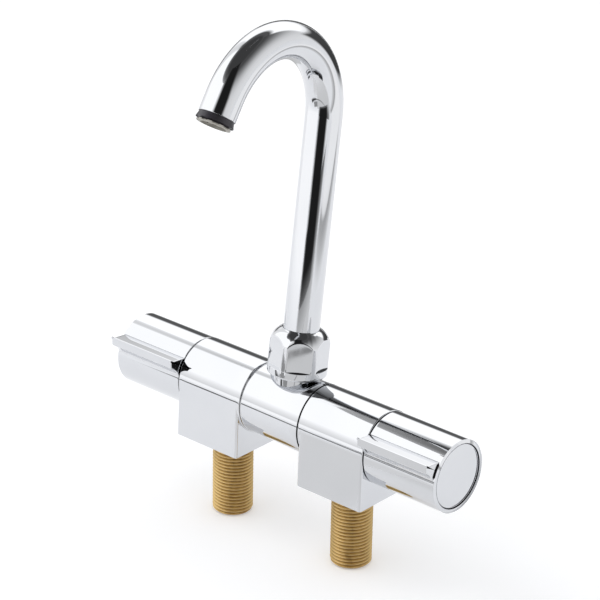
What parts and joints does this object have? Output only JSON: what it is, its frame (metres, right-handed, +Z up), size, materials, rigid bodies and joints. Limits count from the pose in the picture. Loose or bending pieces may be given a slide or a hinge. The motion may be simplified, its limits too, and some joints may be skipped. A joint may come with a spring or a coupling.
{
  "type": "water tap",
  "caption": "Folding mixer tap in chrome: a hooked spout that swivels and folds down about a bar with a lever handle at each end, on threaded brass shanks.",
  "frame": {"origin": "on the worktop plane, midway between the axes of the two threaded shanks", "axes": "+X along the handle bar to the user's right, +Y away from the user, +Z up out of the worktop; the spout leans back 7 degrees from +Z"},
  "size_m": [0.2088, 0.1003, 0.2759],
  "materials": {
    "chrome": "polished chrome plate on brass",
    "brass": "bare turned brass",
    "black_plastic": "black moulded plastic",
    "nylon": "natural nylon",
    "rubber": "black nitrile rubber",
    "steel": "stainless steel",
    "ceramic": "lapped alumina ceramic"
  },
  "bodies": {
    "blocks": {"left_block": "chrome", "right_block": "chrome", "left_shank": "brass", "right_shank": "brass", "left_cartridge_body": "brass", "right_cartridge_body": "brass", "left_fixed_disc": "ceramic", "right_fixed_disc": "ceramic", "retaining_screws": "steel", "seat_seals": "rubber", "cartridge_o_rings": "rubber"},
    "centre": {"centre_body": "chrome", "journal_o_rings": "rubber", "swivel_nut": "chrome", "slip_ring": "nylon"},
    "spout": {"spout_tube": "chrome", "spout_o_rings": "rubber", "aerator_ring": "black_plastic", "aerator_insert": "nylon", "aerator_washer": "rubber"},
    "left_handle": {"left_moving_disc": "ceramic", "left_spindle": "brass", "left_stem_o_rings": "rubber", "left_circlip": "steel", "left_handle": "chrome", "left_handle_insert": "nylon", "left_handle_screw": "steel", "left_end_cap": "chrome"},
    "right_handle": {"right_moving_disc": "ceramic", "right_spindle": "brass", "right_stem_o_rings": "rubber", "right_circlip": "steel", "right_handle": "chrome", "right_handle_insert": "nylon", "right_handle_screw": "steel", "right_end_cap": "chrome"}
  },
  "joints": [
    {"name": "spout_fold", "type": "hinge", "parent": "blocks", "child": "centre", "pos_m": [0, 0, 0.028], "axis": [1, 0, 0], "range_deg": [-83, 97]},
    {"name": "spout_swivel", "type": "hinge", "parent": "centre", "child": "spout", "pos_m": [0, 0, 0.028], "axis": [0, 0.1219, 0.9925], "continuous": true},
    {"name": "left_handle_turn", "type": "hinge", "parent": "blocks", "child": "left_handle", "pos_m": [-0.08, 0, 0.028], "axis": [-1, 0, 0], "range_deg": [0, 90]},
    {"name": "right_handle_turn", "type": "hinge", "parent": "blocks", "child": "right_handle", "pos_m": [0.08, 0, 0.028], "axis": [-1, 0, 0], "range_deg": [0, 90]}
  ]
}
